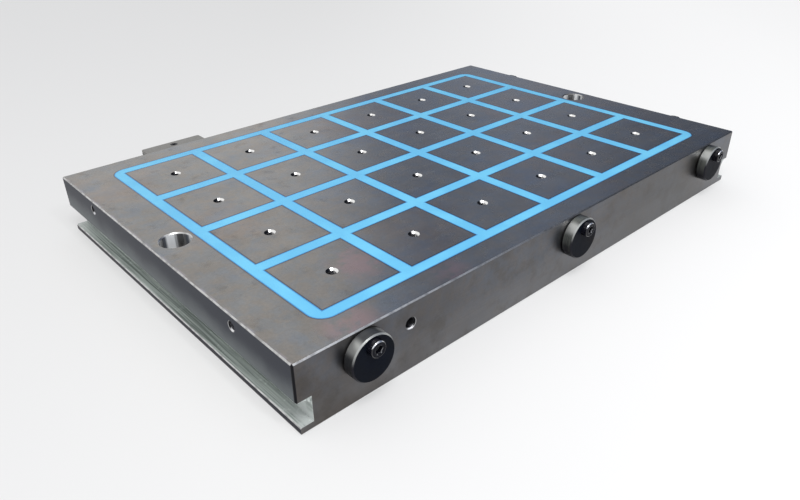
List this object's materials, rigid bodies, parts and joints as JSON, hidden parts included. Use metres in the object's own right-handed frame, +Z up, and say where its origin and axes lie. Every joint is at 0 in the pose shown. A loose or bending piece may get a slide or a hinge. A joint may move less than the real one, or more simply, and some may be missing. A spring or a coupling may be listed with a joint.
{
  "type": "electro-permanent magnetic chuck",
  "caption": "Flat rectangular magnetic workholding plate with a grid of square steel poles set in blue resin, eccentric side stops, clamp grooves and a junction box.",
  "frame": {"origin": "centre of the underside", "axes": "+X along the long side towards the end with the stops, +Y towards the side with the junction box, +Z up out of the working face"},
  "size_m": [0.6157, 0.4337, 0.06],
  "materials": {
    "body_steel": "ground top, milled sides",
    "pole_steel": "ground",
    "cast_magnet": "as cast",
    "coil_copper": "enamelled copper wire",
    "plated_magnet": "nickel plated",
    "potting": "poured",
    "blue_resin": "poured and ground flush",
    "lead_jacket": "smooth",
    "black_screw": "black oxide",
    "stop_steel": "black oxide, worn rim",
    "box_metal": "satin grey",
    "seal_rubber": "matt",
    "terminal_plastic": "moulded",
    "inlet_metal": "dark anodised",
    "pin_brass": "plated"
  },
  "bodies": {
    "chuck": {"chuck_body": "body_steel", "pole_row1_col1": "pole_steel", "pole_row1_col2": "pole_steel", "pole_row1_col3": "pole_steel", "pole_row1_col4": "pole_steel", "pole_row1_col5": "pole_steel", "pole_row1_col6": "pole_steel", "pole_row2_col1": "pole_steel", "pole_row2_col2": "pole_steel", "pole_row2_col3": "pole_steel", "pole_row2_col4": "pole_steel", "pole_row2_col5": "pole_steel", "pole_row2_col6": "pole_steel", "pole_row3_col1": "pole_steel", "pole_row3_col2": "pole_steel", "pole_row3_col3": "pole_steel", "pole_row3_col4": "pole_steel", "pole_row3_col5": "pole_steel", "pole_row3_col6": "pole_steel", "pole_row4_col1": "pole_steel", "pole_row4_col2": "pole_steel", "pole_row4_col3": "pole_steel", "pole_row4_col4": "pole_steel", "pole_row4_col5": "pole_steel", "pole_row4_col6": "pole_steel", "reversible_magnets_row1": "cast_magnet", "reversible_magnets_row2": "cast_magnet", "reversible_magnets_row3": "cast_magnet", "reversible_magnets_row4": "cast_magnet", "coil_row1": "coil_copper", "coil_row2": "coil_copper", "coil_row3": "coil_copper", "coil_row4": "coil_copper", "magnets_between_columns": "plated_magnet", "magnets_between_rows": "plated_magnet", "border_magnets": "plated_magnet", "coil_potting": "potting", "top_resin": "blue_resin", "lead_harness": "lead_jacket", "pole_screws": "black_screw", "stop_screws": "black_screw", "junction_box": "box_metal", "box_seal": "seal_rubber", "junction_box_screws": "black_screw", "lid_gasket": "seal_rubber", "junction_box_lid": "box_metal", "lid_screw": "black_screw", "terminal_block": "terminal_plastic", "inlet_leads": "lead_jacket", "inlet_shell": "inlet_metal", "inlet_insulator": "terminal_plastic", "inlet_pins": "pin_brass"},
    "stop_front_left_disc": {"stop_front_left": "stop_steel"},
    "stop_front_middle_disc": {"stop_front_middle": "stop_steel"},
    "stop_front_right_disc": {"stop_front_right": "stop_steel"},
    "stop_end_front_disc": {"stop_end_front": "stop_steel"},
    "stop_end_back_disc": {"stop_end_back": "stop_steel"}
  },
  "joints": [
    {"name": "stop_front_left_turn", "type": "hinge", "parent": "chuck", "child": "stop_front_left_disc", "pos_m": [-0.242, -0.2, 0.05], "axis": [0, -1, 0], "continuous": true},
    {"name": "stop_front_middle_turn", "type": "hinge", "parent": "chuck", "child": "stop_front_middle_disc", "pos_m": [0, -0.2, 0.05], "axis": [0, -1, 0], "continuous": true},
    {"name": "stop_front_right_turn", "type": "hinge", "parent": "chuck", "child": "stop_front_right_disc", "pos_m": [0.242, -0.2, 0.05], "axis": [0, -1, 0], "continuous": true},
    {"name": "stop_end_front_turn", "type": "hinge", "parent": "chuck", "child": "stop_end_front_disc", "pos_m": [0.3, -0.126, 0.049], "axis": [1, 0, 0], "continuous": true},
    {"name": "stop_end_back_turn", "type": "hinge", "parent": "chuck", "child": "stop_end_back_disc", "pos_m": [0.3, 0.126, 0.049], "axis": [1, 0, 0], "continuous": true}
  ]
}
